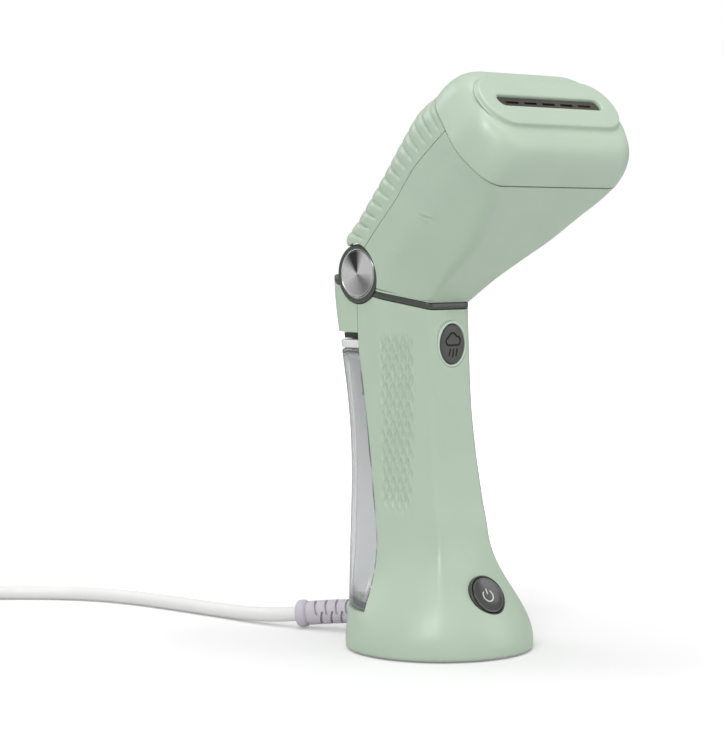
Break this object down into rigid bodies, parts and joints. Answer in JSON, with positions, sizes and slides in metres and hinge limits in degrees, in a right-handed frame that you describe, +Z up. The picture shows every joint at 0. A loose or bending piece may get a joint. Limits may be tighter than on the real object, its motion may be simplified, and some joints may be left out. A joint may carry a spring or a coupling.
{
  "type": "garment steamer",
  "caption": "Handheld garment steamer: round-footed grip, hinged fan-shaped steam head, pull-off water tank behind the grip, mains cord with a plug",
  "frame": {"origin": "centre of the rubber foot on the table", "axes": "+Z up; the steam face and both buttons look to -Y; the water tank and the cord leave at +Y; +X is the user's right as they look at the buttons from -Y"},
  "size_m": [0.241, 0.3826, 0.2645],
  "materials": {
    "green_plastic": "satin sage green moulding",
    "dark_plastic": "dark grey-green moulding",
    "inner_plastic": "dark structural plastic",
    "brushed_metal": "turned face with radial highlights",
    "steel": "plain steel",
    "cast_aluminium": "die cast",
    "clear_plastic": "clear, see-through tank wall",
    "pale_plastic": "pale translucent moulding",
    "grey_plastic": "mid grey moulding",
    "black_rubber": "moulded rubber",
    "silicone": "translucent silicone tube",
    "circuit_board": "green solder mask",
    "mauve_rubber": "soft pale mauve-grey sleeve",
    "cord_sheath": "soft white sheath",
    "copper_red": "red-brown enamel",
    "blue_sheath": "blue wire sheath"
  },
  "bodies": {
    "handle": {"handle_shell": "green_plastic", "rear_cover": "green_plastic", "steam_bezel": "green_plastic", "parting_trim_front": "dark_plastic", "parting_trim_rear": "dark_plastic", "hinge_ring_left": "dark_plastic", "hinge_ring_right": "dark_plastic", "power_rim": "dark_plastic", "base_plate": "inner_plastic", "inner_frame": "inner_plastic", "steam_switch": "inner_plastic", "power_switch": "inner_plastic", "switch_bracket": "inner_plastic", "cord_clamp": "inner_plastic", "hinge_disc_left": "brushed_metal", "hinge_disc_right": "brushed_metal", "base_screw_1": "steel", "base_screw_2": "steel", "base_screw_3": "steel", "hinge_pin": "steel", "steam_spring": "steel", "tank_latch_spring": "steel", "plug_blade_left": "steel", "plug_blade_right": "steel", "pump_body": "grey_plastic", "inlet_port": "grey_plastic", "rubber_foot": "black_rubber", "inlet_hose": "silicone", "outlet_hose": "silicone", "control_board": "circuit_board", "strain_relief": "mauve_rubber", "power_cord": "cord_sheath", "cord_coil": "cord_sheath", "cord_tail": "cord_sheath", "plug_body": "cord_sheath", "pump_coil": "copper_red", "lead_live": "copper_red", "lead_neutral": "blue_sheath"},
    "head": {"head_shell": "green_plastic", "head_back_cover": "green_plastic", "steam_cap": "green_plastic", "nozzle_strip": "steel", "steam_duct": "silicone", "boiler_block": "cast_aluminium", "boiler_lid": "cast_aluminium", "heating_element": "steel", "thermostat": "inner_plastic", "thermal_fuse": "pale_plastic", "boiler_bracket": "inner_plastic", "hinge_yoke": "inner_plastic", "head_hose": "silicone"},
    "tank": {"water_tank": "clear_plastic", "tank_cap": "pale_plastic", "tank_valve": "grey_plastic"},
    "stopper": {"tank_stopper": "grey_plastic"},
    "latch": {"tank_latch": "dark_plastic"},
    "steam_button": {"steam_button": "dark_plastic"},
    "power_button": {"power_button": "dark_plastic"}
  },
  "joints": [
    {"name": "head_fold", "type": "hinge", "parent": "handle", "child": "head", "pos_m": [0, 0.03, 0.1749], "axis": [-1, 0, 0], "range_deg": [0, 50]},
    {"name": "tank_pull", "type": "slide", "parent": "handle", "child": "tank", "axis": [0, 1, 0], "range_m": [0, 0.06]},
    {"name": "stopper_open", "type": "hinge", "parent": "tank", "child": "stopper", "pos_m": [0, 0.0475, 0.1155], "axis": [-1, 0, 0], "range_deg": [0, 100]},
    {"name": "latch_press", "type": "slide", "parent": "handle", "child": "latch", "axis": [0, -1, 0], "range_m": [0, 0.0024], "stiffness_N_per_m": 400, "deforming": ["tank_latch_spring"]},
    {"name": "steam_press", "type": "slide", "parent": "handle", "child": "steam_button", "axis": [0, 1, 0], "range_m": [0, 0.0016], "stiffness_N_per_m": 600, "deforming": ["steam_spring"]},
    {"name": "power_press", "type": "slide", "parent": "handle", "child": "power_button", "axis": [0, 0.8572, -0.515], "range_m": [0, 0.0014], "stiffness_N_per_m": 700}
  ]
}
